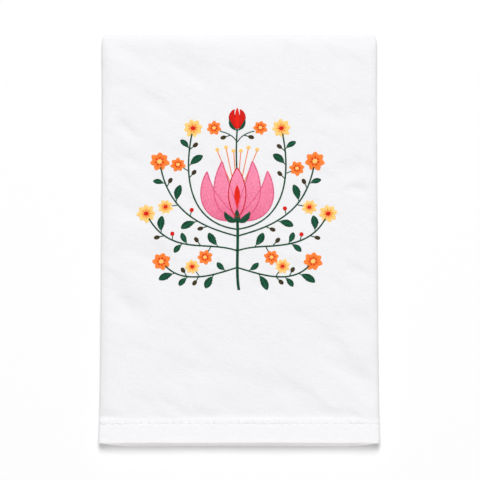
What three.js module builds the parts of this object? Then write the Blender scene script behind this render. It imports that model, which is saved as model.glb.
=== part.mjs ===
// A cotton tea towel lying face up on a flat surface, folded for display.
// The cloth is folded in thirds across its width, both flaps behind the front panel, and then
// in half along its length, so that both sewn hems lie at the near end and the fold at the far end.
// Millimetres. +X runs across the folded towel, +Y from the hems to the far fold, +Z up out of the
// front panel. The origin is the middle of the underside.

import * as THREE from 'three';

// Driving dimensions
const foldedWidth = 239;
const foldedLength = 366.2;
const clothThickness = 1; // the soft thickness of one layer, with its loft
const hemThickness = 1.3; // turned under and sewn
const hemWidth = 22;
const hemStep = 1.5; // half the length over which the cloth thickens at the sewn edge
const layerPitch = 1.8; // from the middle of one layer to the middle of the next
const hemPitch = 2.05; // the same where the hems lie on each other
const layersInHalf = 3;
const edgeSetBack = 3; // from a flap's free edge to the middle of the fold that it lies in

// How far the folded towel is from a perfect box
const sideTaper = { reach: 26, topDrop: 0.3, bottomLift: 0.9 }; // thinner towards the side folds
const farTaper = { reach: 48.3, bottomLift: 0.5 }; // and the far fold
const hollow = 0.02; // the middle of the underside rests this much more lightly than its corners
const hemRise = 55; // the stack grows to its hem height over this length
const waist = 0.6; // the sides draw in this much half way up
const endBow = 0.2; // and the ends this much at their middles
const hemFlare = { reach: 30, out: 0.6 }; // and spread again at the hems
const farCorner = { reach: 9, in: 2.4 }; // rounded corners at the far fold
const underLayers = { reach: 60, in: 1, out: 0.7, cornerBack: 3.1, uneven: 0.25 }; // at the hems
const underWave = { perHeight: 1.9, acrossLength: 60 };
const ripple = { by: 0.2, lengths: [31, 47, 39, 90] }; // soft unevenness of the upper layers

// Steps of the surface, even round each bend so that a station lies on its crown
const bendSteps = { left: 6, right: 8, far: 10 };
const panelSteps = { middle: 5, side: 3 };
const runSteps = { hem: 2, main: 7 };

// Worked out from those
const halfWidth = foldedWidth / 2;
const halfLength = foldedLength / 2;
const halfCloth = clothThickness / 2;
const stackPitches = 2 * layersInHalf - 1;
const stackHeight = stackPitches * layerPitch; // between the middles of its outer layers
const farBendY = halfLength - halfCloth - stackHeight / 2;
const restHalfWidth = halfWidth - halfCloth - layerPitch / 2 - sideTaper.reach; // what lies flat
const restHalfLength = halfLength - farTaper.reach / 2;
const restMiddleY = -farTaper.reach / 2;

// The front panel is layer 0, the left flap lies behind it and the right flap behind that.
const leftBend = { x: -(halfWidth - halfCloth - layerPitch / 2), radius: layerPitch / 2 };
const rightBend = { x: halfWidth - halfCloth - layerPitch, radius: layerPitch };
const freeEdge = halfWidth - halfCloth - edgeSetBack;
const acrossPanels = [
  { layer: 1, from: freeEdge, to: leftBend.x, bend: { ...leftBend, steps: bendSteps.left } },
  { layer: 0, from: leftBend.x, to: rightBend.x, bend: { ...rightBend, steps: bendSteps.right } },
  { layer: 2, from: rightBend.x, to: -freeEdge, bend: null },
];

// How far a place is into a zone that begins at reach before its end, from 0 to 1, and softly so.
const shareOfZone = (distance, reach) => Math.min(Math.max(1 - distance / reach, 0), 1);
const intoZone = (distance, reach) => shareOfZone(distance, reach) ** 2;

// Places along a line between two values, closer together within the side zones at its ends.
function panelPlaces(from, to) {
  const way = Math.sign(to - from);
  const inner = [from + way * sideTaper.reach, to - way * sideTaper.reach];
  const stretches = [
    { start: from, end: inner[0], steps: panelSteps.side },
    { start: inner[0], end: inner[1], steps: panelSteps.middle },
    { start: inner[1], end: to, steps: panelSteps.side },
  ];
  const places = [from];
  stretches.forEach(({ start, end, steps }) => {
    for (let i = 1; i <= steps; i += 1) places.push(THREE.MathUtils.lerp(start, end, i / steps));
  });
  return places;
}

// Stations across the width, in the order of the unfolded cloth, on the middle of its thickness.
// up is the height over the front panel's middle.
function acrossStations() {
  const stations = [];
  acrossPanels.forEach(({ layer, from, to, bend }) => {
    panelPlaces(from, to).forEach((x) => stations.push({ x, up: -layer * layerPitch }));
    if (!bend) return;
    // From the flap up to the front panel on the left, and down from it on the right.
    const side = Math.sign(bend.x);
    for (let i = 1; i < bend.steps; i += 1) {
      const turn = (Math.PI * i) / bend.steps;
      stations.push({
        x: bend.x + side * bend.radius * Math.sin(turn),
        up: bend.radius * (side * Math.cos(turn) - 1),
      });
    }
  });
  return stations;
}

// Stations along the length, from the upper hem over the far fold to the lower hem. y, z lie on
// the front panel's middle, z up from the lowest layer's middle, and ny, nz point out of its face.
function alongStations() {
  const rising = (hemRise - hemWidth - hemStep) / runSteps.hem;
  const distances = [0, hemWidth - hemStep, hemWidth + hemStep];
  for (let i = 1; i <= runSteps.hem; i += 1) distances.push(hemWidth + hemStep + rising * i);
  const left = farBendY + halfLength - hemRise;
  for (let i = 1; i <= runSteps.main; i += 1) distances.push(hemRise + (left * i) / runSteps.main);

  const halfThickness = (d) => (d < hemWidth ? hemThickness : clothThickness) / 2;
  const upper = distances.map((d) => ({
    y: d - halfLength,
    z: stackHeight,
    ny: 0,
    nz: 1,
    halfThickness: halfThickness(d),
  }));
  const bend = [];
  for (let i = 1; i < bendSteps.far; i += 1) {
    const turn = (Math.PI * i) / bendSteps.far;
    const ny = Math.sin(turn);
    const nz = Math.cos(turn);
    const y = farBendY + (stackHeight / 2) * ny;
    bend.push({ y, z: (stackHeight / 2) * (1 + nz), ny, nz, halfThickness: halfCloth });
  }
  const lower = upper.map((s) => ({ ...s, z: 0, nz: -1 })).reverse();
  return [...upper, ...bend, ...lower];
}

// Moves a point on the middle of the perfectly folded cloth to where the soft cloth lies.
function settle(p, halfThickness) {
  const height = p.z / stackHeight;
  const fromHem = p.y + halfLength;
  const toSide = intoZone(halfWidth - Math.abs(p.x), sideTaper.reach);
  const lift = Math.max(
    sideTaper.bottomLift * shareOfZone(halfWidth - Math.abs(p.x), sideTaper.reach),
    farTaper.bottomLift * shareOfZone(halfLength - p.y, farTaper.reach),
  );
  const toFar = intoZone(halfLength - p.y, farCorner.reach);
  const toHem = intoZone(fromHem, hemFlare.reach);
  const under = intoZone(fromHem, underLayers.reach) * (1 - height);

  const outwards =
    hemFlare.out * toHem -
    waist * (1 - (p.y / halfLength) ** 4) -
    farCorner.in * toFar -
    underLayers.in * under;
  const uneven = Math.cos(p.z * underWave.perHeight + p.x / underWave.acrossLength);
  const back = underLayers.cornerBack * toSide - underLayers.out + underLayers.uneven * uneven;

  const hemGrowth = 1 + (hemPitch / layerPitch - 1) * Math.sqrt(intoZone(fromHem, hemRise));
  const [a, b, c, d] = ripple.lengths;
  const fromCorners = 1 - ((p.x / restHalfWidth) * ((p.y - restMiddleY) / restHalfLength)) ** 2;
  const wave = Math.sin(p.x / a + p.y / b) * Math.cos(p.y / c - p.x / d);
  const squeeze = (sideTaper.topDrop * toSide + lift) / stackHeight;
  return p.set(
    p.x * (1 + outwards / halfWidth),
    p.y * (1 - (endBow / halfLength) * (1 - (p.x / halfWidth) ** 2)) + back * under,
    halfThickness +
      p.z * hemGrowth * (1 - squeeze) +
      lift +
      hollow * fromCorners * (1 - height) +
      ripple.by * wave * height * (1 - toSide) * (1 - toFar),
  );
}

// The middle of the cloth's thickness is a flat grid with a line for each station, folded point
// by point. The cloth is a thin box with the same lines, whose two faces lie either side of it.
function foldedCloth() {
  const across = acrossStations();
  const along = alongStations();
  const columns = across.length - 1;
  const rows = along.length - 1;
  const column = (points, i) => Math.round(points.getX(i) + columns / 2);
  const row = (points, i) => Math.round(points.getY(i) + rows / 2);
  const p = new THREE.Vector3();

  const middle = new THREE.PlaneGeometry(columns, rows, columns, rows);
  const middlePoints = middle.getAttribute('position');
  for (let i = 0; i < middlePoints.count; i += 1) {
    const { x, up } = across[column(middlePoints, i)];
    const { y, z, ny, nz, halfThickness } = along[row(middlePoints, i)];
    settle(p.set(x, y + ny * up, z + nz * up), halfThickness);
    middlePoints.setXYZ(i, p.x, p.y, p.z);
  }
  middle.computeVertexNormals();
  const outOfFace = middle.getAttribute('normal');

  const cloth = new THREE.BoxGeometry(columns, rows, 1, columns, rows, 1);
  const points = cloth.getAttribute('position');
  const normal = new THREE.Vector3();
  for (let i = 0; i < points.count; i += 1) {
    const line = row(points, i);
    const at = (rows - line) * (columns + 1) + column(points, i);
    const offset = Math.sign(points.getZ(i)) * along[line].halfThickness;
    normal.fromBufferAttribute(outOfFace, at);
    p.fromBufferAttribute(middlePoints, at).addScaledVector(normal, offset);
    points.setXYZ(i, p.x, p.y, Math.max(p.z, 0));
  }
  const box = new THREE.Box3().setFromBufferAttribute(points);
  cloth.translate(-(box.min.x + box.max.x) / 2, -(box.min.y + box.max.y) / 2, 0);
  cloth.computeVertexNormals();
  return cloth;
}

const cotton = new THREE.MeshStandardMaterial({
  name: 'white cotton',
  color: 0xf4f4f6,
  roughness: 0.92,
  metalness: 0,
});

const teaTowel = new THREE.Mesh(foldedCloth(), cotton);
teaTowel.name = 'tea_towel';

const object = new THREE.Group();
object.add(teaTowel);

export default object;
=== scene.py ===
# A cotton tea towel, folded in thirds and then in half, lying face up on a pale surface.
# The folded cloth, its sewn hems, the embroidered flower spray and the studio, all in metres.

import math
import random

import bmesh
import bpy
from mathutils import Euler, Matrix, Vector, noise
from mathutils.bvhtree import BVHTree


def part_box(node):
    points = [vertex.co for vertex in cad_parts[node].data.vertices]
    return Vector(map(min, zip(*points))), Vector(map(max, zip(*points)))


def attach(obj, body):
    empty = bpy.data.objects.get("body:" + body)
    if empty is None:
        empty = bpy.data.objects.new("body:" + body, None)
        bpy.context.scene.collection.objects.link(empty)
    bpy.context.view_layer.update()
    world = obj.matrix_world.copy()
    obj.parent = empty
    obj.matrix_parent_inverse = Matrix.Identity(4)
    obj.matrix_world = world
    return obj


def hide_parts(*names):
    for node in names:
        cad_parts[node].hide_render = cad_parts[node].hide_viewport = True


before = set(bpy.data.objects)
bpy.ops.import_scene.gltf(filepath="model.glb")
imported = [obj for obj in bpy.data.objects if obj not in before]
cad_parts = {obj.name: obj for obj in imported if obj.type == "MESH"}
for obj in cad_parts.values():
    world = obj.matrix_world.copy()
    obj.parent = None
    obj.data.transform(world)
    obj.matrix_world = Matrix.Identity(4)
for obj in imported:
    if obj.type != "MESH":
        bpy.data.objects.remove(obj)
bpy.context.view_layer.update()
print("frame loaded, nodes:", sorted(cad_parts))

mm = 0.001
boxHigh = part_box("tea_towel")[1]

# The camera comes first: a long lens, well above the towel and a little to its near side
view = {
    "lens": 436.6,
    "sensor": 36,
    "distance": 5.0,
    "elevation": math.radians(74.4),
    "aim": (0.4 * mm, -2.95 * mm, 8 * mm),
    "clipEnd": 50,
}


def makeCamera():
    data = bpy.data.cameras.new("camera")
    data.lens = view["lens"]
    data.sensor_width = view["sensor"]
    data.clip_end = view["clipEnd"]
    camera = bpy.data.objects.new("camera", data)
    back = Vector((0, -math.cos(view["elevation"]), math.sin(view["elevation"])))
    camera.location = Vector(view["aim"]) + back * view["distance"]
    camera.rotation_euler = (-back).to_track_quat("-Z", "Y").to_euler()
    bpy.context.scene.collection.objects.link(camera)
    bpy.context.scene.camera = camera


makeCamera()

# The cloth, with its folds in the same places as the solid's
towel = {
    "flat": (0.711, 0.737),
    "folded": (0.239, 0.3662),
    "thickness": 1.0 * mm,
    "hemThickness": 1.45 * mm,
    "hemWidth": 21.8 * mm,
    "hemStep": 3 * mm,  # the length over which the cloth thickens at the hem's inner edge
    "hemRoll": {"reach": 3.2 * mm, "drop": 0.7 * mm},
    "layerPitch": 1.8 * mm,
    "hemRise": 55 * mm,  # the stack grows to its height at the hems over this length
    "edgeSetBack": 3 * mm,  # from a flap's free edge to the fold that it lies in
    "waist": 0.9 * mm,  # the sides draw in this much at their middles
    "hemFlare": {"reach": 30 * mm, "out": 0.6 * mm},  # and spread again at the hems
    "endBow": 0.2 * mm,  # the ends draw in this much at theirs
    "sideTaper": {"reach": 26 * mm, "topDrop": 0.3 * mm, "bottomLift": 0.9 * mm},
    "farTaper": {"reach": 48.3 * mm, "bottomLift": 0.5 * mm},
    "shoulder": {"left": 9 * mm, "right": 6.5 * mm, "drop": 2.6 * mm, "atHem": 0.5},
    "farShoulder": {"reach": 24 * mm, "drop": 3.7 * mm},
    "farCorner": {"reach": 9 * mm, "in": 2.4 * mm},
    "nearCorner": {"reach": 4 * mm, "in": 1.3 * mm},
    "under": {"reach": 60 * mm, "in": 1.4 * mm, "out": 0.7 * mm, "cornerBack": 3.0 * mm},
    "uneven": {"by": 0.25 * mm, "perHeight": 1900, "acrossLength": 60 * mm},
    "ripple": {"by": 0.2 * mm, "lengths": (31 * mm, 47 * mm, 39 * mm, 90 * mm)},
    "roundRim": 0.2,  # the least share of its thickness that is left at the hem's rounded edge
    "sideStiffness": 0.6,  # how much flatter the creases are at the side folds
    "hemStiffness": 0.7,  # and on the hems
}
# Steps of the surface: close together where the cloth shows and where the hem is sewn
surfaceSteps = {
    "leftBend": 10,
    "rightBend": 12,
    "farBend": 16,
    "frontSide": 13,
    "frontMiddle": 105,
    "flapSide": 6,
    "flapMiddle": 12,
    "rim": 4,
    "hem": 5,
    "seam": 12,
    "step": 5,
    "run": 118,
    "underRun": 34,
}
# The seam that holds the hem down. Each stitch pulls a short groove into the cloth, which starts
# at the needle's hole and bows towards the hem's edge, and the cloth puffs up beyond it.
seam = {
    "fromHem": 17.0 * mm,
    "firstHole": -1.7 * mm,
    "pitch": 6.87 * mm,
    "bow": {"out": 0.8 * mm, "share": 0.9},
    "groove": {"depth": 0.18 * mm, "width": 0.55 * mm, "share": 0.74, "fade": 0.14},
    "hole": {"depth": 0.3 * mm, "width": 0.55 * mm},
    "puff": {"rise": 0.25 * mm, "width": 2.2 * mm, "beyond": 2.4 * mm, "least": 0.4},
    "dent": {"depth": 0.2 * mm, "width": 1.5 * mm},
    "trough": {"depth": 0.16 * mm, "width": 2.5 * mm, "beyond": 4.2 * mm},
    "fineLines": 3 * mm,  # the surface's lines are close together this far to both sides
    "finer": 4,  # and this many times closer across the stitches that show
}
# Soft creases of the front panel, in millimetres and degrees. A rise above zero is a ridge, and
# one below it a trough.
creaseColumns = ("x", "y", "angle", "length", "width", "rise")
creaseRows = [
    (-12, 154, -27, 64, 6.3, -0.74),
    (-62, 148, -36, 70, 6.9, 0.56),
    (40, 160, -12, 60, 8.0, 0.48),
    (-84, 112, -38, 62, 5.8, 0.69),
    (-97, 96, -34, 40, 5.2, -0.97),
    (-98, 84, -30, 44, 5.8, 0.78),
    (88, 106, -14, 46, 7.5, -0.81),
    (92, 122, 8, 44, 6.9, 0.53),
    (95, 63, -8, 40, 6.9, -0.81),
    (99, 49, 4, 42, 4.6, 0.89),
    (100, 42, 3, 36, 3.2, -0.74),
    (101, 33, -7, 40, 5.2, 0.81),
    (100, 20, -22, 42, 6.3, -0.53),
    (-100, 58, -20, 30, 5.8, 0.59),
    (-104, 8, -35, 34, 5.8, 0.5),
    (-98, -52, -42, 48, 7.5, 0.41),
    (-86, -82, -45, 66, 8.2, -0.46),
    (-70, -78, -44, 60, 9.0, 0.41),
    (-44, -60, -40, 46, 8.2, -0.3),
    (-96, -128, -38, 44, 7.5, 0.41),
    (-52, -118, -40, 52, 7.5, -0.41),
    (-34, -134, -22, 52, 6.0, 0.46),
    (-60, -146, -30, 40, 6.8, -0.35),
    (4, -112, -36, 60, 9.8, 0.35),
    (20, -140, -14, 50, 7.5, -0.41),
    (54, -136, -8, 60, 8.2, -0.57),
    (66, -120, -20, 50, 9.0, 0.41),
    (70, -66, -42, 62, 8.2, 0.41),
    (84, -82, -44, 60, 8.2, -0.52),
    (98, -96, -50, 44, 7.5, 0.35),
    (102, -124, -12, 34, 7.5, -0.57),
    (30, -84, -38, 48, 9.8, -0.3),
]
creaseBow = 0.004  # a crease bends aside by this times the square of the millimetres along it
# Broad soft undulations, longer along their own turned direction than across it
cloud = {
    "along": 62 * mm,
    "across": 27 * mm,
    "turn": math.radians(-33),
    "rise": 1.5 * mm,
    "atSides": 2.6 * mm,
    "seed": 3.7,
    "octaves": 3,
    "finer": 2.1,  # each octave's waves are this many times shorter
    "fall": 1.5,  # and this sets how much lower
}

halfWidth = towel["folded"][0] / 2
halfLength = towel["folded"][1] / 2
shiftY = boxHigh.y - halfLength
halfCloth = towel["thickness"] / 2
layerGaps = 5  # between six layers
stackHeight = layerGaps * towel["layerPitch"]
farBendY = halfLength - halfCloth - stackHeight / 2
hemPitch = (boxHigh.z - towel["ripple"]["by"] / 2 - towel["hemThickness"]) / layerGaps


def zone(distance, reach):
    # How far a place is into a zone that begins at reach before its end, from 0 to 1
    return min(max(1 - distance / reach, 0), 1)


def softZone(distance, reach):
    return zone(distance, reach) ** 2


def spread(start, end, steps):
    return [start + (end - start) * i / steps for i in range(1, steps + 1)]


def acrossStations():
    # From the left flap's free edge over the front panel to the right flap's
    pitch = towel["layerPitch"]
    reach = towel["sideTaper"]["reach"]
    leftX = -(halfWidth - halfCloth - pitch / 2)
    rightX = halfWidth - halfCloth - pitch
    freeEdge = halfWidth - halfCloth - towel["edgeSetBack"]
    flap = (surfaceSteps["flapSide"], surfaceSteps["flapMiddle"])
    front = (surfaceSteps["frontSide"], surfaceSteps["frontMiddle"])
    panels = [
        {"layer": 1, "start": freeEdge, "end": leftX, "steps": flap, "radius": pitch / 2,
         "bend": surfaceSteps["leftBend"]},
        {"layer": 0, "start": leftX, "end": rightX, "steps": front, "radius": pitch,
         "bend": surfaceSteps["rightBend"]},
        {"layer": 2, "start": rightX, "end": -freeEdge, "steps": flap, "radius": 0, "bend": 0},
    ]
    stations = []
    for panel in panels:
        side, middle = panel["steps"]
        way = math.copysign(reach, panel["end"] - panel["start"])
        places = [panel["start"]]
        places += spread(panel["start"], panel["start"] + way, side)
        places += spread(panel["start"] + way, panel["end"] - way, middle)
        places += spread(panel["end"] - way, panel["end"], side)
        stations += [(x, -panel["layer"] * pitch) for x in places]
        out = math.copysign(1, panel["end"])
        for i in range(1, panel["bend"]):
            turn = math.pi * i / panel["bend"]
            x = panel["end"] + out * panel["radius"] * math.sin(turn)
            stations.append((x, panel["radius"] * (out * math.cos(turn) - 1)))
    return stations


def hemDistances(steps):
    # From the rounded rim over the seam and the hem's inner edge to the far fold
    rim = towel["hemThickness"] / 2
    rise = [rim * (1 - math.cos(math.pi / 2 * i / steps["rim"])) for i in range(steps["rim"] + 1)]
    seamStart = seam["fromHem"] - seam["fineLines"]
    seamEnd = seam["fromHem"] + seam["fineLines"]
    stepEnd = towel["hemWidth"] + 1.4 * towel["hemStep"]  # a little past the step
    return (
        rise
        + spread(rim, seamStart, steps["hem"])
        + spread(seamStart, seamEnd, steps["seam"])
        + spread(seamEnd, stepEnd, steps["step"])
        + spread(stepEnd, farBendY + halfLength, steps["run"])
    )


def alongStations():
    # From the upper hem over the far fold to the lower hem. y and z lie on the front panel,
    # ny and nz point out of its face, and d is the distance from the hem's edge.
    upper = [
        {"y": d - halfLength, "z": stackHeight, "ny": 0, "nz": 1, "d": d}
        for d in hemDistances(surfaceSteps)
    ]
    bend = []
    for i in range(1, surfaceSteps["farBend"]):
        turn = math.pi * i / surfaceSteps["farBend"]
        ny, nz = math.sin(turn), math.cos(turn)
        bend.append({"y": farBendY + stackHeight / 2 * ny, "z": stackHeight / 2 * (1 + nz),
                     "ny": ny, "nz": nz, "d": farBendY + halfLength})
    under = hemDistances({**surfaceSteps, "run": surfaceSteps["underRun"]})
    lower = [{"y": d - halfLength, "z": 0, "ny": 0, "nz": -1, "d": d} for d in reversed(under)]
    return upper + bend + lower


def hemShare(d):
    # 1 on the hem, 0 on the single cloth, with a soft step between
    t = min(max((towel["hemWidth"] + towel["hemStep"] / 2 - d) / towel["hemStep"], 0), 1)
    return t * t * (3 - 2 * t)


def halfThickness(d):
    return halfCloth + (towel["hemThickness"] / 2 - halfCloth) * hemShare(d)


def bell(distance, width):
    return math.exp(-((distance / width) ** 2))


def alongStitch(x):
    # How far x is along its stitch, from 0 at the needle's hole to 1 at the next
    return (x - seam["firstHole"]) / seam["pitch"] % 1


def seamLine(x):
    # How far the seam's thread lies from the hem's edge
    bow = seam["bow"]
    return seam["fromHem"] - bow["out"] * math.sin(math.pi * min(alongStitch(x) / bow["share"], 1))


def seamRelief(x, d):
    share = alongStitch(x)
    groove, hole, puff = seam["groove"], seam["hole"], seam["puff"]
    dent, trough = seam["dent"], seam["trough"]
    held = min(max((groove["share"] + groove["fade"] - share) / groove["fade"], 0), 1)
    off = d - seamLine(x)
    relief = -groove["depth"] * held * bell(off, groove["width"])
    fromHole = min(share, 1 - share) * seam["pitch"]
    relief -= hole["depth"] * bell(math.hypot(fromHole, d - seam["fromHem"]), hole["width"])
    puffed = puff["least"] + math.sin(math.pi * share)
    relief += puff["rise"] * puffed * bell(off - puff["beyond"], puff["width"])
    relief -= dent["depth"] * bell(off, dent["width"])
    return relief - trough["depth"] * bell(d - towel["hemWidth"] - trough["beyond"], trough["width"])


def creaseRise(x, y):
    rise = 0
    for row in creaseRows:
        crease = dict(zip(creaseColumns, row))
        dx, dy = x / mm - crease["x"], y / mm - crease["y"]
        turn = math.radians(crease["angle"])
        along = dx * math.cos(turn) + dy * math.sin(turn)
        reach = 1 - (2 * along / crease["length"]) ** 2
        if reach <= 0:
            continue
        across = dy * math.cos(turn) - dx * math.sin(turn) + creaseBow * along**2
        rise += crease["rise"] * mm * reach**2 * bell(across, crease["width"])
    return rise


def cloudRise(x, y):
    u = (x * math.cos(cloud["turn"]) + y * math.sin(cloud["turn"])) / cloud["along"]
    v = (y * math.cos(cloud["turn"]) - x * math.sin(cloud["turn"])) / cloud["across"]
    most = cloud["rise"] + cloud["atSides"] * (x / halfWidth) ** 2
    place = Vector((u, v, cloud["seed"]))
    return most * noise.fractal(place, cloud["fall"], cloud["finer"], cloud["octaves"])


def settle(x, y, z, d):
    # Moves a point of the perfect fold to where the soft cloth lies
    height = z / stackHeight
    fromHem, fromFar, fromSide = y + halfLength, halfLength - y, halfWidth - abs(x)
    taper, far, under = towel["sideTaper"], towel["farTaper"], towel["under"]
    corner, nearCorner, flare = towel["farCorner"], towel["nearCorner"], towel["hemFlare"]
    toSide = softZone(fromSide, taper["reach"])
    toFar = softZone(fromFar, corner["reach"])
    below = softZone(fromHem, under["reach"]) * (1 - height)
    outwards = (
        flare["out"] * softZone(fromHem, flare["reach"])
        - towel["waist"] * (1 - (y / halfLength) ** 4)
        - corner["in"] * toFar
        - nearCorner["in"] * softZone(fromHem, nearCorner["reach"])
        - under["in"] * below
    )
    # The layers below stand back unevenly at the hems
    uneven = towel["uneven"]
    wave = math.cos(z * uneven["perHeight"] + x / uneven["acrossLength"])
    back = under["cornerBack"] * toSide - under["out"] + uneven["by"] * wave
    # The stack is higher at its hems, and rounded down towards its folds
    growth = 1 + (hemPitch / towel["layerPitch"] - 1) * math.sqrt(softZone(fromHem, towel["hemRise"]))
    lift = max(taper["bottomLift"] * zone(fromSide, taper["reach"]),
               far["bottomLift"] * zone(fromFar, far["reach"]))
    shoulder, farShoulder, roll = towel["shoulder"], towel["farShoulder"], towel["hemRoll"]
    sideDrop = shoulder["drop"] * softZone(fromSide, shoulder["left" if x < 0 else "right"])
    sideDrop *= 1 - (1 - shoulder["atHem"]) * zone(fromHem, towel["hemRise"])
    farDrop = farShoulder["drop"] * zone(fromFar, farShoulder["reach"]) ** 3
    drop = taper["topDrop"] * toSide + (sideDrop**4 + farDrop**4) ** 0.25
    drop += roll["drop"] * softZone(fromHem, roll["reach"])
    squeeze = (drop + lift) / stackHeight
    # Its soft relief: ripples, creases and undulations, and the pucker of the seam
    a, b, c, e = towel["ripple"]["lengths"]
    ripple = towel["ripple"]["by"] * math.sin(x / a + y / b) * math.cos(y / c - x / e)
    stiff = (1 - toFar) * (1 - towel["sideStiffness"] * toSide)
    stiff *= 1 - towel["hemStiffness"] * hemShare(d)
    fine = (creaseRise(x, y) * height**3 + cloudRise(x, y) * height) * stiff
    pucker = seamRelief(x, d) * (2 * height - 1)
    if pucker < 0 and height < 0.5:
        pucker = 0
    return Vector((
        x * (1 + outwards / halfWidth),
        y * (1 - towel["endBow"] / halfLength * (1 - (x / halfWidth) ** 2)) + back * below + shiftY,
        halfThickness(d)
        + z * growth * (1 - squeeze)
        + lift
        + ripple * height * (1 - toSide) * (1 - toFar)
        + fine
        + pucker,
    ))


def between(values, place):
    # The value at a fractional place in a list of tuples
    low = min(int(place), len(values) - 2)
    share = place - low
    return [a + (b - a) * share for a, b in zip(values[low], values[low + 1])]


def flatDistances(stations):
    # How far each station lies from the first one on the flat cloth, for the weave
    distances = [0.0]
    for a, b in zip(stations, stations[1:]):
        distances.append(distances[-1] + math.hypot(b[0] - a[0], b[1] - a[1]))
    return distances


def makeTowel():
    across = acrossStations()
    along = [(s["y"], s["z"], s["ny"], s["nz"], s["d"]) for s in alongStations()]
    columns, rows = len(across) - 1, len(along) - 1
    across = [(*s, flat) for s, flat in zip(across, flatDistances(across))]
    along = [(*s, flat) for s, flat in zip(along, flatDistances(along))]

    sheet = bmesh.new()
    bmesh.ops.create_grid(sheet, x_segments=columns, y_segments=rows, size=0.5)

    def column(v):
        return (v.co.x + 0.5) * columns

    def row(v):
        return (v.co.y + 0.5) * rows

    # The lines are closer together across the stitches of the seam that shows
    firstColumn = 2 * surfaceSteps["flapSide"] + surfaceSteps["flapMiddle"] + surfaceSteps["leftBend"]
    lastColumn = firstColumn + 2 * surfaceSteps["frontSide"] + surfaceSteps["frontMiddle"]
    firstRow = surfaceSteps["rim"] + surfaceSteps["hem"]
    lastRow = firstRow + surfaceSteps["seam"]
    sewnEdges = []
    for edge in sheet.edges:
        v0, v1 = edge.verts
        inSeam = abs(row(v0) - row(v1)) < 0.5 and firstRow - 0.5 < row(v0) < lastRow + 0.5
        if inSeam and firstColumn < (column(v0) + column(v1)) / 2 < lastColumn:
            sewnEdges.append(edge)
    bmesh.ops.subdivide_edges(sheet, edges=sewnEdges, cuts=seam["finer"] - 1, use_grid_fill=True)

    weave = sheet.loops.layers.uv.new("weave")
    thick = sheet.verts.layers.deform.verify()
    hem = sheet.verts.layers.float.new("hem")
    place = {v: (between(across, column(v)), between(along, row(v))) for v in sheet.verts}
    for face in sheet.faces:
        for loop in face.loops:
            fromAcross, fromAlong = place[loop.vert]
            loop[weave].uv = (fromAcross[2], fromAlong[5])
    rim = towel["hemThickness"] / 2
    for v, ((x, up, _flatX), (y, z, ny, nz, d, _flatY)) in place.items():
        v.co = settle(x, y + ny * up, z + nz * up, d)
        roundness = math.sqrt(max(1 - max(1 - d / rim, 0) ** 2, 0))
        v[hem] = hemShare(d)
        v[thick][0] = halfThickness(d) / rim * max(roundness, towel["roundRim"])
    data = bpy.data.meshes.new("tea_towel_cloth")
    sheet.to_mesh(data)
    sheet.free()
    data.shade_smooth()
    piece = bpy.data.objects.new("tea_towel_cloth", data)
    piece.vertex_groups.new(name="thickness")
    bpy.context.scene.collection.objects.link(piece)
    wall = piece.modifiers.new("thickness", "SOLIDIFY")
    wall.thickness = towel["hemThickness"]
    wall.offset = 0
    wall.vertex_group = "thickness"
    wall.use_even_offset = False
    return piece


cloth = makeTowel()
print("cloth folded:", len(cloth.data.polygons), "faces before its thickness")


# Materials
def newMaterial(name):
    material = bpy.data.materials.new(name)
    material.use_nodes = True
    tree = material.node_tree
    shader = tree.nodes["Principled BSDF"]
    return material, tree, shader


def addNode(tree, kind, values=None, **settings):
    node = tree.nodes.new(kind)
    for key, value in settings.items():
        setattr(node, key, value)
    for key, value in (values or {}).items():
        node.inputs[key].default_value = value
    return node


def addMapping(tree, vector, values):
    mapping = addNode(tree, "ShaderNodeMapping", values)
    tree.links.new(vector, mapping.inputs["Vector"])
    return mapping.outputs["Vector"]


def addNoise(tree, vector, roughness):
    texture = addNode(tree, "ShaderNodeTexNoise", {"Scale": 1, "Detail": 3, "Roughness": roughness})
    tree.links.new(vector, texture.inputs["Vector"])
    return texture.outputs["Fac"]


def addBump(tree, height, look, below=None):
    # below is the bump that this one lies on
    bump = addNode(tree, "ShaderNodeBump", {"Strength": look["strength"], "Distance": look["height"]})
    tree.links.new(height, bump.inputs["Height"])
    if below:
        tree.links.new(below.outputs["Normal"], bump.inputs["Normal"])
    return bump


cottonLook = {
    "colour": (0.79, 0.79, 0.805, 1),
    "hemColour": (0.825, 0.825, 0.84, 1),
    "roughness": 0.95,
    "specular": 0.15,
    "sheen": {"weight": 0.08, "roughness": 0.6},
    "slubs": {"warp": (120, 820, 1), "weft": (520, 420, 1), "weftShare": 0.8, "roughness": 0.6,
              "height": 0.33 * mm, "strength": 0.5},
    "slubShade": {"From Min": 0.6, "From Max": 1.2, "To Min": 0.97, "To Max": 1.015},
    "crumple": {"along": 18 * mm, "across": 8 * mm, "turn": math.radians(33), "roughness": 0.42,
                "height": 0.65 * mm, "strength": 0.7},
    "weave": {"pitch": 0.5 * mm, "height": 0.26 * mm, "strength": 0.5},
    "unevenThreads": {"Distortion": 1.2, "Detail": 2, "Detail Scale": 0.3},
}


def addWeave(tree, uv):
    # A plain weave: high where threads of both directions are on top, or both below
    waveScale = math.pi / (20 * cottonLook["weave"]["pitch"])
    weave = addNode(tree, "ShaderNodeMath", operation="MULTIPLY")
    for place, direction in enumerate(("X", "Y")):
        wave = addNode(
            tree,
            "ShaderNodeTexWave",
            {"Scale": waveScale, **cottonLook["unevenThreads"]},
            bands_direction=direction,
            wave_profile="SIN",
        )
        tree.links.new(uv, wave.inputs["Vector"])
        centred = addNode(tree, "ShaderNodeMath", {1: 0.5}, operation="SUBTRACT")
        tree.links.new(wave.outputs["Fac"], centred.inputs[0])
        tree.links.new(centred.outputs[0], weave.inputs[place])
    return weave.outputs[0]


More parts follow.
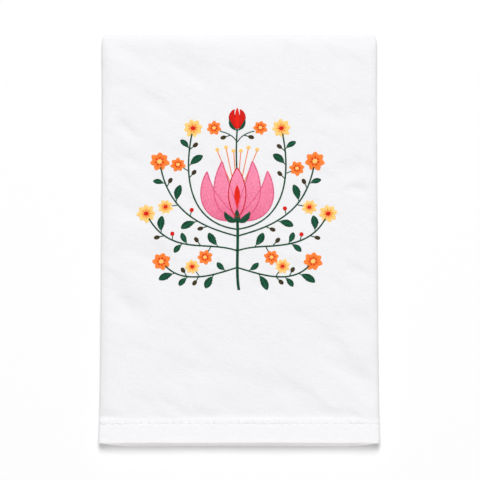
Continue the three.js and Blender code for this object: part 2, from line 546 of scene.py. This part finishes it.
def makeCotton():
    material, tree, shader = newMaterial("cotton")
    link = tree.links.new
    uv = addNode(tree, "ShaderNodeUVMap", uv_map="weave").outputs["UV"]
    # Slubs are the places where a thread is thicker, in both directions of the cloth
    look = cottonLook["slubs"]
    weft = addNoise(tree, addMapping(tree, uv, {"Scale": look["weft"]}), look["roughness"])
    warp = addNoise(tree, addMapping(tree, uv, {"Scale": look["warp"]}), look["roughness"])
    slubs = addNode(tree, "ShaderNodeMath", {1: look["weftShare"]}, operation="MULTIPLY_ADD")
    link(weft, slubs.inputs[0])
    link(warp, slubs.inputs[2])
    # Crumples run at an angle to the threads
    crumple = cottonLook["crumple"]
    turned = addMapping(tree, uv, {"Rotation": (0, 0, crumple["turn"])})
    stretched = addMapping(tree, turned, {"Scale": (1 / crumple["along"], 1 / crumple["across"], 1)})
    crumpleBump = addBump(tree, addNoise(tree, stretched, crumple["roughness"]), crumple)
    slubBump = addBump(tree, slubs.outputs[0], look, crumpleBump)
    weaveBump = addBump(tree, addWeave(tree, uv), cottonLook["weave"], slubBump)
    link(weaveBump.outputs["Normal"], shader.inputs["Normal"])
    # The doubled hem is a little lighter, and so are the slubs
    hem = addNode(tree, "ShaderNodeAttribute", attribute_name="hem")
    plies = addNode(tree, "ShaderNodeMix", data_type="RGBA")
    plies.inputs["A"].default_value = cottonLook["colour"]
    plies.inputs["B"].default_value = cottonLook["hemColour"]
    link(hem.outputs["Fac"], plies.inputs["Factor"])
    slubShade = addNode(tree, "ShaderNodeMapRange", cottonLook["slubShade"])
    link(slubs.outputs[0], slubShade.inputs["Value"])
    shade = addNode(tree, "ShaderNodeMix", data_type="RGBA", blend_type="MULTIPLY")
    shade.inputs["Factor"].default_value = 1
    link(plies.outputs["Result"], shade.inputs["A"])
    link(slubShade.outputs["Result"], shade.inputs["B"])
    link(shade.outputs["Result"], shader.inputs["Base Color"])
    shader.inputs["Roughness"].default_value = cottonLook["roughness"]
    shader.inputs["Specular IOR Level"].default_value = cottonLook["specular"]
    shader.inputs["Sheen Weight"].default_value = cottonLook["sheen"]["weight"]
    shader.inputs["Sheen Roughness"].default_value = cottonLook["sheen"]["roughness"]
    return material


# The darkest and the lightest colour of each thread
threadColours = {
    "green": ((0.002, 0.04, 0.018, 1), (0.02, 0.16, 0.08, 1)),
    "brown": ((0.026, 0.018, 0.006, 1), (0.075, 0.052, 0.02, 1)),
    "yellow": ((0.93, 0.5, 0.11, 1), (1.0, 0.68, 0.24, 1)),
    "orange": ((0.86, 0.16, 0.015, 1), (0.98, 0.27, 0.05, 1)),
    "red": ((0.55, 0.005, 0.005, 1), (0.8, 0.02, 0.008, 1)),
    "pink": ((0.72, 0.1, 0.22, 1), (0.93, 0.3, 0.46, 1)),
    "white": ((0.86, 0.86, 0.87, 1), (0.93, 0.93, 0.94, 1)),
}
threadLook = {
    "roughness": 0.55,
    "specular": 0.1,
    "twist": {"height": 0.04 * mm, "strength": 0.6},
    "twistStep": 0.09 * mm,  # the way along the thread in which its twist turns by one radian
}


def makeThread(name):
    material, tree, shader = newMaterial(f"thread_{name}")
    link = tree.links.new
    tint = addNode(tree, "ShaderNodeAttribute", attribute_name="tint")
    mix = addNode(tree, "ShaderNodeMix", data_type="RGBA")
    dark, light = threadColours[name]
    mix.inputs["A"].default_value = dark
    mix.inputs["B"].default_value = light
    link(tint.outputs["Fac"], mix.inputs["Factor"])
    link(mix.outputs["Result"], shader.inputs["Base Color"])
    along = addNode(tree, "ShaderNodeAttribute", attribute_name="twist")
    wave = addNode(tree, "ShaderNodeMath", operation="SINE")
    link(along.outputs["Fac"], wave.inputs[0])
    bump = addBump(tree, wave.outputs[0], threadLook["twist"])
    link(bump.outputs["Normal"], shader.inputs["Normal"])
    shader.inputs["Roughness"].default_value = threadLook["roughness"]
    shader.inputs["Specular IOR Level"].default_value = threadLook["specular"]
    return material


cloth.data.materials.append(makeCotton())
threads = {name: makeThread(name) for name in threadColours}
print("materials made:", 1 + len(threads))

# A stitch is one short thread that rises out of the cloth and goes back into it
stitchShape = {
    "around": 6,
    "rings": 5,
    "ringSpread": 0.6,
    "arch": 0.5,
    "endTaper": 0.62,
    "shortest": 0.2 * mm,
}
# The surface that the stitches lie on
bpy.context.view_layer.update()
surface = BVHTree.FromObject(cloth, bpy.context.evaluated_depsgraph_get())


def clothTop(x, y):
    hit = surface.ray_cast(Vector((x, y, 0.1)), Vector((0, 0, -1)))[0]
    return hit.z if hit else boxHigh.z


def stitchMesh():
    # Unit length along X, unit width and thickness, with both ends below its middle
    stitch = bmesh.new()
    bmesh.ops.create_uvsphere(
        stitch, u_segments=stitchShape["around"], v_segments=stitchShape["rings"], radius=1
    )
    bmesh.ops.rotate(stitch, verts=stitch.verts, matrix=Matrix.Rotation(math.pi / 2, 3, "Y"))
    for v in stitch.verts:
        t = math.copysign(abs(v.co.x) ** stitchShape["ringSpread"], v.co.x)
        ring = math.hypot(v.co.y, v.co.z)
        fuller = ring**stitchShape["endTaper"] / ring if ring > 1e-6 else 0
        v.co = Vector((t / 2, v.co.y * fuller / 2, v.co.z * fuller / 2))
        v.co.z += stitchShape["arch"] * (1 - t**4)
    data = bpy.data.meshes.new("stitch")
    stitch.to_mesh(data)
    stitch.free()
    return data


oneStitch = stitchMesh()


def sewPiece(name, stitches, colour):
    # Every stitch is a copy of the one shape, laid from its start to its end on the cloth
    joined = bmesh.new()
    tints, twists = [], []
    unit = [v.co.x for v in oneStitch.vertices]
    for stitch in stitches:
        start, end = stitch["start"], stitch["end"]
        run = end - start
        length = max(run.length, stitchShape["shortest"])
        low0, low1 = clothTop(*start), clothTop(*end)
        middle = (start + end) / 2
        base = max((low0 + low1) / 2, clothTop(*middle)) + stitch["lift"]
        pitch = -math.atan2(low1 - low0, length)
        turned = Euler((0, pitch, math.atan2(run.y, run.x)), "XYZ").to_matrix().to_4x4()
        size = Matrix.Diagonal((length, stitch["width"], stitch["high"], 1))
        place = Matrix.Translation((middle.x, middle.y, base)) @ turned @ size
        copy = oneStitch.copy()
        copy.transform(place)
        joined.from_mesh(copy)
        bpy.data.meshes.remove(copy)
        tints += [stitch["tint"]] * len(unit)
        twists += [u * length / threadLook["twistStep"] for u in unit]
    data = bpy.data.meshes.new(name)
    joined.to_mesh(data)
    joined.free()
    for attribute, values in (("tint", tints), ("twist", twists)):
        data.attributes.new(attribute, "FLOAT", "POINT").data.foreach_set("value", values)
    data.shade_smooth()
    data.materials.append(threads[colour])
    piece = bpy.data.objects.new(name, data)
    bpy.context.scene.collection.objects.link(piece)
    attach(piece, "root")
    return piece


# The hem's stitches: each thread lies along the far side of its groove, in two bent halves
hemStitch = {
    "start": 0.06,
    "end": 0.86,
    "endShift": 0.06,
    "width": 0.8 * mm,
    "widths": (0.9, 1.1),
    "high": 0.5 * mm,
    "beyond": 0.5 * mm,
    "lift": -0.22 * mm,
    "overlap": 0.12,
    "margin": 1.5 * mm,
}


def sewHem():
    draw = random.Random(11)
    stitches = []
    count = int((halfWidth - hemStitch["margin"]) / seam["pitch"])
    for i in range(-count, count):
        hole = seam["firstHole"] + i * seam["pitch"]
        shift = draw.uniform(-hemStitch["endShift"], hemStitch["endShift"])
        tint = draw.random()
        width = hemStitch["width"] * draw.uniform(*hemStitch["widths"])
        start, end = hemStitch["start"], hemStitch["end"] + shift
        places = []
        for share in (start, (start + end) / 2, end):
            x = hole + share * seam["pitch"]
            d = seamLine(x) + hemStitch["beyond"]
            places.append(Vector((x, d - halfLength + shiftY)))
        for a, b in zip(places, places[1:]):
            reach = (b - a) * hemStitch["overlap"]
            stitches.append({"start": a - reach, "end": b + reach, "width": width,
                             "high": hemStitch["high"], "lift": hemStitch["lift"], "tint": tint})
    return sewPiece("hem_stitches", stitches, "white")


hemThread = sewHem()
print("hem sewn")

# The embroidered flower spray, laid out in millimetres from its own middle
spray = {
    "middle": (-2 * mm, 33.7 * mm + shiftY),
    "threadWidth": 0.52,
    "threadHigh": 0.38,
    "widths": (0.94, 1.08),
    "fullest": 1.5,  # a wider thread is at most this much thicker too
    "sunk": 0.06,
    "pitch": 0.42,
    "longest": 6.5,
    "shortest": 0.5,
    "narrowest": 0.18,
    "jitter": 0.1,
    "phases": (0.25, 0.75, 0.5, 0.95),
    "veinGap": 0.1,
    "innerSlant": 0.35,  # a half's stitches lean less where they meet at the vein
    "underlay": {"pitch": 0.9, "width": 1.2, "run": 3.4, "margin": 0.45, "lower": 0.16, "samples": 30},
    "stem": {"width": 1.25, "pitch": 1.25, "aside": 0.2, "stalkWidth": 0.8, "outlinePitch": 1.2},
}
curveSteps = 24
draw = random.Random(5)
partColours = {
    "stems": "green",
    "leaves": "green",
    "seeds": "brown",
    "yellow": "yellow",
    "orange": "orange",
    "red": "red",
    "pink": "pink",
}
partStitches = {part: [] for part in partColours}


def addStitch(part, start, end, width, lift, tint):
    x0, y0 = spray["middle"]
    fuller = min(width / spray["threadWidth"], spray["fullest"])
    partStitches[part].append({
        "start": Vector((x0 + start[0] * mm, y0 + start[1] * mm)),
        "end": Vector((x0 + end[0] * mm, y0 + end[1] * mm)),
        "width": width * draw.uniform(*spray["widths"]) * mm,
        "high": spray["threadHigh"] * fuller * mm,
        "lift": (lift - spray["sunk"]) * mm,
        "tint": min(max(tint + draw.uniform(-0.2, 0.2), 0), 1),
    })


def towards(angle):
    return Vector((math.cos(angle), math.sin(angle)))


def leftOf(direction):
    return Vector((-direction.y, direction.x))


def onSide(point, side):
    return Vector((side * point[0], point[1]))


def curvePoint(points, t):
    # De Casteljau's construction on any number of points
    points = [Vector(p) for p in points]
    while len(points) > 1:
        points = [a.lerp(b, t) for a, b in zip(points, points[1:])]
    return points[0]


def curveTangent(points, t):
    before, after = max(t - 0.01, 0), min(t + 0.01, 1)
    return (curvePoint(points, after) - curvePoint(points, before)).normalized()


def besideCurve(points, t, off):
    return curvePoint(points, t) + leftOf(curveTangent(points, t)) * off


def pathLength(places):
    return sum((b - a).length for a, b in zip(places, places[1:]))


def curveLength(points):
    return pathLength([curvePoint(points, i / curveSteps) for i in range(curveSteps + 1)])


def evenTint(tint):
    return lambda t: tint


def rowOfStitches(part, start, end, lift, tint, phase):
    # A row longer than a thread can span is sewn in several stitches, staggered like bricks
    run = end - start
    count = max(1, math.ceil(run.length / spray["longest"]))
    cuts = [0, 1]
    if count > 1:
        cuts = [0] + [(i + phase) / count for i in range(count)] + [1]
    for a, b in zip(cuts, cuts[1:]):
        if (b - a) * run.length > spray["shortest"]:
            addStitch(part, start + run * a, start + run * b, spray["threadWidth"], lift, tint)


def underlay(part, axis, halfWidthAt, tintAt, lift):
    # Flat stitches along the shape, which its satin stitches then cover
    look = spray["underlay"]
    length = curveLength(axis)
    shares = [i / look["samples"] for i in range(look["samples"] + 1)]
    lanes = int(max(halfWidthAt(t) for t in shares) / look["pitch"])
    for lane in range(-lanes, lanes + 1):
        off = lane * look["pitch"]
        inside = [t for t in shares if halfWidthAt(t) > abs(off) + look["margin"]]
        if not inside:
            continue
        first, last = inside[0], inside[-1]
        steps = max(1, round((last - first) * length / look["run"]))
        cuts = [first + (last - first) * i / steps for i in range(steps + 1)]
        for a, b in zip(cuts, cuts[1:]):
            start, end = besideCurve(axis, a, off), besideCurve(axis, b, off)
            addStitch(part, start, end, look["width"], lift - look["lower"], tintAt((a + b) / 2))


def sideOf(axis, halfWidthAt, side, steps):
    # The outline of a shape on one side of its axis
    return [besideCurve(axis, i / steps, side * halfWidthAt(i / steps)) for i in range(steps + 1)]


def fillShape(part, axis, halfWidthAt, tintAt, slant=0.0, halves=False, lift=0.0):
    # Satin stitches side by side across a shape that follows an axis, close at its longer side
    underlay(part, axis, halfWidthAt, tintAt, lift)
    sides = [sideOf(axis, halfWidthAt, side, curveSteps) for side in (-1, 1)]
    longest = max(curveLength(axis), *(pathLength(side) for side in sides))
    count = max(3, round(longest / spray["pitch"]))
    for i in range(count + 1):
        t = i / count
        half = halfWidthAt(t)
        if half < spray["narrowest"]:
            continue
        middle = curvePoint(axis, t)
        along = curveTangent(axis, t)
        across = leftOf(along)
        if halves:
            for side in (-1, 1):
                lean = half * slant + draw.uniform(-spray["jitter"], spray["jitter"])
                outer = middle + across * side * half + along * lean
                inner = middle + across * side * spray["veinGap"]
                inner -= along * half * slant * spray["innerSlant"]
                rowOfStitches(part, inner, outer, lift, tintAt(t), 0.5)
        else:
            lean = across + along * slant
            jitter = draw.uniform(-spray["jitter"], spray["jitter"])
            start, end = middle - lean * (half + jitter), middle + lean * (half - jitter)
            rowOfStitches(part, start, end, lift, tintAt(t), spray["phases"][i % 4])


def sewPath(part, places, width, lift, tint):
    # Stem stitch: each stitch starts half way along the one before, a little to its side
    for i in range(len(places) - 1):
        a, b = places[i], places[min(i + 2, len(places) - 1)]
        across = leftOf((b - a).normalized()) * spray["stem"]["aside"] * width
        addStitch(part, a + across, b - across, width, lift, tint)


def sewLine(part, points, width=spray["stem"]["width"], lift=0.0, tint=0.2):
    count = max(2, round(curveLength(points) / spray["stem"]["pitch"]))
    sewPath(part, [curvePoint(points, i / count) for i in range(count + 1)], width, lift, tint)


def sewOutline(part, axis, halfWidthAt, width, lift, tint):
    # A line along both sides of a shape, from its base to its tip
    count = max(4, round(curveLength(axis) / spray["stem"]["outlinePitch"]))
    for side in (-1, 1):
        sewPath(part, sideOf(axis, halfWidthAt, side, count), width, lift, tint)


# Half widths of a shape along its axis, which runs from 0 to 1
def almond(width, sharp=1.0, blunt=0.85):
    return lambda t: width / 2 * math.sin(math.pi * min(t, 1) ** sharp) ** blunt


def disc(radius):
    return lambda t: radius * math.sqrt(max(1 - (2 * t - 1) ** 2, 0))


def roundPetal(width):
    return lambda t: width / 2 * (0.3 + 0.7 * math.sin(math.pi * min(t, 0.95) ** 1.3))


leafLook = {"sharp": 0.85, "slant": 0.5, "tint": 0.2}
veinLook = {"share": 0.85, "width": 0.6, "lift": 0.24, "tint": 1}


def sewLeaf(base, angle, length, width, bend):
    direction = towards(angle)
    across = leftOf(direction)
    axis = [base, base + direction * length / 2 + across * length * bend, base + direction * length]
    shape = almond(width, leafLook["sharp"])
    fillShape("leaves", axis, shape, evenTint(leafLook["tint"]), slant=leafLook["slant"], halves=True)
    vein = [axis[0], axis[1], axis[0].lerp(axis[2], veinLook["share"])]
    sewLine("leaves", vein, veinLook["width"], veinLook["lift"], veinLook["tint"])


def sewDot(part, middle, radius, angle=0.0, longer=1.0, lift=0.05):
    direction = towards(angle) * radius * longer
    fillShape(part, [middle - direction, middle + direction], disc(radius), evenTint(0.4), lift=lift)


flowerLooks = {
    "yellow": {"petals": 8, "rays": "orange", "heart": "red"},
    "orange": {"petals": 7, "rays": "red", "heart": "yellow"},
}
# Shares of the flower's radius, and how high its rays and heart lie on its petals
flowerShape = {
    "petals": {"from": 0.2, "wide": 0.8, "to": (0.94, 1.06), "slant": 0.12},
    "rays": {"apart": 0.16, "from": 0.25, "middle": 0.66, "outer": 0.5, "width": 0.45, "lift": 0.16},
    "heart": {"radius": 0.26, "lift": 0.22},
}


def sewFlower(kind, middle, radius, turn):
    look = flowerLooks[kind]
    petals, rays, heart = flowerShape["petals"], flowerShape["rays"], flowerShape["heart"]
    width = 2 * math.pi * radius * petals["wide"] / look["petals"]
    for k in range(look["petals"]):
        angle = turn + 2 * math.pi * (k + draw.uniform(-0.06, 0.06)) / look["petals"]
        direction = towards(angle)
        base = middle + direction * petals["from"] * radius
        axis = [base, middle + direction * radius * draw.uniform(*petals["to"])]
        fillShape(kind, axis, roundPetal(width), lambda t: 0.15 + 0.7 * t, slant=petals["slant"])
        for side in (-rays["apart"], 0, rays["apart"]):
            ray = towards(angle + side)
            out = rays["outer"] if side else rays["middle"]
            start = middle + ray * rays["from"] * radius
            addStitch(look["rays"], start, middle + ray * out * radius, rays["width"], rays["lift"], 0.3)
    sewDot(look["heart"], middle, radius * heart["radius"], angle=turn, lift=heart["lift"])


# Places in the bud are shares of its length and, to the side, of its width
budShape = {
    "petalOutline": (0.9, 0.7),
    "petal": {"bulge": (0.5, 0.7), "tip": (0.92, 0.2), "width": 0.56, "slant": 0.3},
    "middlePetal": {"width": 0.42, "lift": 0.16},
    "sepal": {"below": 1.5, "bulge": (0.1, 0.62), "tip": (0.48, 0.6), "width": 0.26, "lift": 0.24},
}


def sewBud(base, angle, length, width):
    direction = towards(angle)
    across = leftOf(direction)
    petal, middlePetal, sepal = budShape["petal"], budShape["middlePetal"], budShape["sepal"]

    def place(shares, side):
        return base + direction * length * shares[0] + across * side * width * shares[1]

    for side in (-1, 1):
        axis = [base, place(petal["bulge"], side), place(petal["tip"], side)]
        shape = almond(width * petal["width"], *budShape["petalOutline"])
        fillShape("red", axis, shape, evenTint(0.25), slant=petal["slant"] * side)
    axis = [base, base + direction * length]
    shape = almond(width * middlePetal["width"], *budShape["petalOutline"])
    fillShape("red", axis, shape, evenTint(0.9), lift=middlePetal["lift"])
    for side in (-1, 1):
        axis = [base - direction * sepal["below"], place(sepal["bulge"], side), place(sepal["tip"], side)]
        shape = almond(width * sepal["width"])
        fillShape("leaves", axis, shape, evenTint(0.25), lift=sepal["lift"])


# A sprig is a stalk at an angle to its branch, with a leaf, a dot or a flower at its end
sprigLooks = {
    "leaf": {"stalk": 2.2, "angle": 52, "length": 13.5, "width": 6.4},
    "smallLeaf": {"stalk": 1.6, "angle": 58, "length": 10, "width": 4.9},
    "seed": {"stalk": 4.6, "angle": 48, "part": "seeds", "beyond": 2, "radius": 1.9, "longer": 1.35},
    "berry": {"stalk": 4.0, "angle": 62, "part": "red", "beyond": 1.8, "radius": 1.9, "longer": 1.0},
    "flower": {"stalk": 5.5, "angle": 60, "beyond": 5.5, "radius": 6.2},
}

# Branches of the right half, from the stem outwards. A sprig's place is its share along the
# branch and the side it grows on, 1 being the left of a walk outwards.
branches = [
    {"line": [(0, -62), (20, -68), (46, -78), (62, -60)], "radius": 7.8, "end": "orange",
     "side": "yellow",
     "sprigs": [("smallLeaf", 0.16, 1), ("leaf", 0.3, -1), ("flower", 0.5, 1), ("seed", 0.5, -1),
                ("smallLeaf", 0.64, -1), ("seed", 0.68, 1), ("leaf", 0.84, -1)]},
    {"line": [(0, -47), (24, -38), (58, -52), (76, -18)], "radius": 7.8, "end": "yellow",
     "side": "orange",
     "sprigs": [("leaf", 0.2, 1), ("flower", 0.3, -1), ("seed", 0.38, 1), ("smallLeaf", 0.54, 1),
                ("smallLeaf", 0.58, -1), ("berry", 0.68, 1), ("seed", 0.8, -1), ("leaf", 0.84, 1)]},
    {"line": [(0, -34), (30, -26), (58, -14), (66, 28)], "radius": 8.2, "end": "orange",
     "side": "yellow",
     "sprigs": [("seed", 0.28, -1), ("leaf", 0.42, -1), ("berry", 0.5, 1), ("flower", 0.64, -1),
                ("leaf", 0.68, 1), ("seed", 0.84, 1), ("smallLeaf", 0.86, -1)]},
    {"line": [(0, -28), (46, -22), (45, 28), (39, 58)], "radius": 7.8, "end": "yellow",
     "side": "orange",
     "sprigs": [("seed", 0.6, 1), ("flower", 0.66, -1), ("leaf", 0.72, 1), ("seed", 0.84, 1),
                ("smallLeaf", 0.86, -1)]},
]


def sewSprig(kind, line, at, side, flower):
    look = sprigLooks[kind]
    root = curvePoint(line, at)
    along = curveTangent(line, at)
    angle = math.atan2(along.y, along.x) + side * math.radians(look["angle"] + draw.uniform(-6, 6))
    direction = towards(angle)
    end = root + direction * look["stalk"]
    sewLine("stems", [root, end], spray["stem"]["stalkWidth"])
    if kind in ("leaf", "smallLeaf"):
        length = look["length"] * draw.uniform(0.92, 1.06)
        sewLeaf(end, angle, length, look["width"], bend=-0.12 * side)
        return
    middle = end + direction * look["beyond"]
    if kind == "flower":
        sewFlower(flower, middle, look["radius"], draw.uniform(0, 0.7))
    else:
        sewDot(look["part"], middle, look["radius"], angle=angle, longer=look["longer"])


# The large blossom in the middle, from its outer petals to the one over them
bloom = {
    "base": (0, -18),
    "petals": [
        {"bulge": (30, -12), "tip": (26, 24), "width": 16, "edge": "pink"},
        {"bulge": (17, -2), "tip": (13, 33), "width": 16, "edge": "pink"},
        {"bulge": (0, 8), "tip": (0, 27), "width": 15, "edge": "red"},
    ],
    "petalOutline": (0.85, 0.8),
    "slant": 0.12,
    "petalLift": 0.14,
    "edge": {"width": 0.75, "lift": 0.2, "tint": 0.1},
    "stamens": {"tips": [(3, 41), (9.5, 44), (17, 42)], "rootShare": 0.3, "rootHeight": 30,
                "width": 0.7, "tint": 0.3},
    "anther": {"off": (0.2, 1.4), "radius": 1.7},
    "flame": {"from": (0, 6), "to": (0, 30), "width": 6, "outline": (1.2, 0.8), "slant": 0.3,
              "lift": 0.45},
    "sepals": {"foot": (0, -3), "bulge": (8, -3), "tip": (11, 6), "middleTip": (0, 9), "width": 5.5,
               "slant": 0.2, "lift": 0.6},
}


def petalTint(depth):
    # Darker towards a petal's base, and in the petals that lie behind
    return lambda t: 0.95 - 0.6 * (1 - t) ** 2 - 0.12 * (2 - depth)


def sewBloom():
    base = Vector(bloom["base"])
    stamens, anther, edge = bloom["stamens"], bloom["anther"], bloom["edge"]
    for side in (-1, 1):
        for x, y in stamens["tips"]:
            root = base + Vector((side * x * stamens["rootShare"], stamens["rootHeight"]))
            end = Vector((side * x, y))
            sewLine("orange", [root, end], stamens["width"], tint=stamens["tint"])
            sewDot("yellow", end + onSide(anther["off"], side), anther["radius"])
    for depth, petal in enumerate(bloom["petals"]):
        lift = bloom["petalLift"] * depth
        shape = almond(petal["width"], *bloom["petalOutline"])
        # The petal in the middle is sewn once, and the others on both sides
        for side in (-1, 1) if petal["tip"][0] else (1,):
            axis = [base, onSide(petal["bulge"], side), onSide(petal["tip"], side)]
            fillShape("pink", axis, shape, petalTint(depth), slant=bloom["slant"] * side, lift=lift)
            sewOutline(petal["edge"], axis, shape, edge["width"], lift + edge["lift"], edge["tint"])
    flame, sepals = bloom["flame"], bloom["sepals"]
    axis = [base + Vector(flame["from"]), base + Vector(flame["to"])]
    shape = almond(flame["width"], *flame["outline"])
    fillShape("red", axis, shape, evenTint(0.8), slant=flame["slant"], lift=flame["lift"])
    for side in (-1, 0, 1):
        tip = sepals["tip"] if side else sepals["middleTip"]
        axis = [base + onSide(place, side) for place in (sepals["foot"], sepals["bulge"], tip)]
        shape = almond(sepals["width"])
        fillShape("leaves", axis, shape, evenTint(0.25), slant=sepals["slant"], lift=sepals["lift"])


# A bud on its own stem, which rises from behind the blossom, between two small flowers
topSprig = {
    "stem": [(0, 20), (-1.5, 40), (0, 62)],
    "stalk": [(0, 50), (4, 58), (15, 60)],
    "flower": {"at": (20, 63), "radius": 6},
    "bud": {"length": 19, "width": 11},
}
mainStem = {"line": [(1.5, -82), (-1.5, -66), (1.5, -40), (0, -18)], "aside": 0.55, "width": 1.2}


def sewTopSprig():
    sewLine("stems", topSprig["stem"])
    flower, bud = topSprig["flower"], topSprig["bud"]
    for side in (-1, 1):
        stalk = [(side * x, y) for x, y in topSprig["stalk"]]
        sewLine("stems", stalk, spray["stem"]["stalkWidth"])
        sewFlower("orange", onSide(flower["at"], side), flower["radius"], draw.uniform(0, 0.7))
        sewSprig("seed", stalk, 0.5, -side, None)
    sewBud(Vector(topSprig["stem"][-1]), math.pi / 2, bud["length"], bud["width"])


def sewSpray():
    for aside in (-mainStem["aside"], mainStem["aside"]):
        sewLine("stems", [(x + aside, y) for x, y in mainStem["line"]], mainStem["width"])
    for mirrored in (1, -1):
        for branch in branches:
            line = [(mirrored * x, y) for x, y in branch["line"]]
            sewLine("stems", line)
            for kind, at, side in branch["sprigs"]:
                place = at + draw.uniform(-0.015, 0.015)
                sewSprig(kind, line, place, side * mirrored, branch["side"])
            middle = Vector(line[-1]) + curveTangent(line, 1) * branch["radius"] * 0.6
            sewFlower(branch["end"], middle, branch["radius"], draw.uniform(0, 0.7))
    sewTopSprig()
    sewBloom()


sewSpray()
embroidery = [
    sewPiece(f"embroidery_{part}", partStitches[part], colour) for part, colour in partColours.items()
]
print("embroidered:", {part: len(stitches) for part, stitches in partStitches.items()})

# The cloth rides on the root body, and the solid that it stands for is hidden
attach(cloth, "root")
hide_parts("tea_towel")

# The studio: a pale floor that glows a little, an even sky, a wide lamp high beyond the far fold,
# and a small one at the near side, slightly warm and hardly above the floor
studio = {
    "floorSize": 8.0,
    "floorColour": (0.71, 0.71, 0.71, 1),
    "floorRoughness": 0.9,
    "floorSpecular": 0.1,
    "floorGlow": 0.165,
    "skyStrength": 0.3,
    "lamps": [
        {"name": "far_lamp", "at": (0.4, 4.81, 11.92), "size": (6, 11), "watts": 1675,
         "colour": (1, 1, 1)},
        {"name": "near_lamp", "at": (-0.3, -5.0, 0.14), "size": (1.2, 0.24), "watts": 114,
         "colour": (1, 0.94, 0.9)},
    ],
}


def makeStudio():
    ground = bmesh.new()
    bmesh.ops.create_grid(ground, x_segments=1, y_segments=1, size=studio["floorSize"] / 2)
    data = bpy.data.meshes.new("floor")
    ground.to_mesh(data)
    ground.free()
    floor = bpy.data.objects.new("floor", data)
    bpy.context.scene.collection.objects.link(floor)
    material, _tree, shader = newMaterial("floor")
    shader.inputs["Base Color"].default_value = studio["floorColour"]
    shader.inputs["Roughness"].default_value = studio["floorRoughness"]
    shader.inputs["Specular IOR Level"].default_value = studio["floorSpecular"]
    shader.inputs["Emission Color"].default_value = (1, 1, 1, 1)
    shader.inputs["Emission Strength"].default_value = studio["floorGlow"]
    data.materials.append(material)

    world = bpy.data.worlds.new("studio")
    world.use_nodes = True
    sky = world.node_tree.nodes["Background"]
    sky.inputs["Color"].default_value = (1, 1, 1, 1)
    sky.inputs["Strength"].default_value = studio["skyStrength"]
    bpy.context.scene.world = world
    for lamp in studio["lamps"]:
        light = bpy.data.lights.new(lamp["name"], "AREA")
        light.shape = "ELLIPSE"
        light.size, light.size_y = lamp["size"]
        light.energy = lamp["watts"]
        light.color = lamp["colour"]
        holder = bpy.data.objects.new(lamp["name"], light)
        holder.location = lamp["at"]
        holder.rotation_euler = (-Vector(lamp["at"])).to_track_quat("-Z", "Y").to_euler()
        bpy.context.scene.collection.objects.link(holder)
    bpy.context.scene.view_settings.view_transform = "Standard"


makeStudio()
print("studio lit")
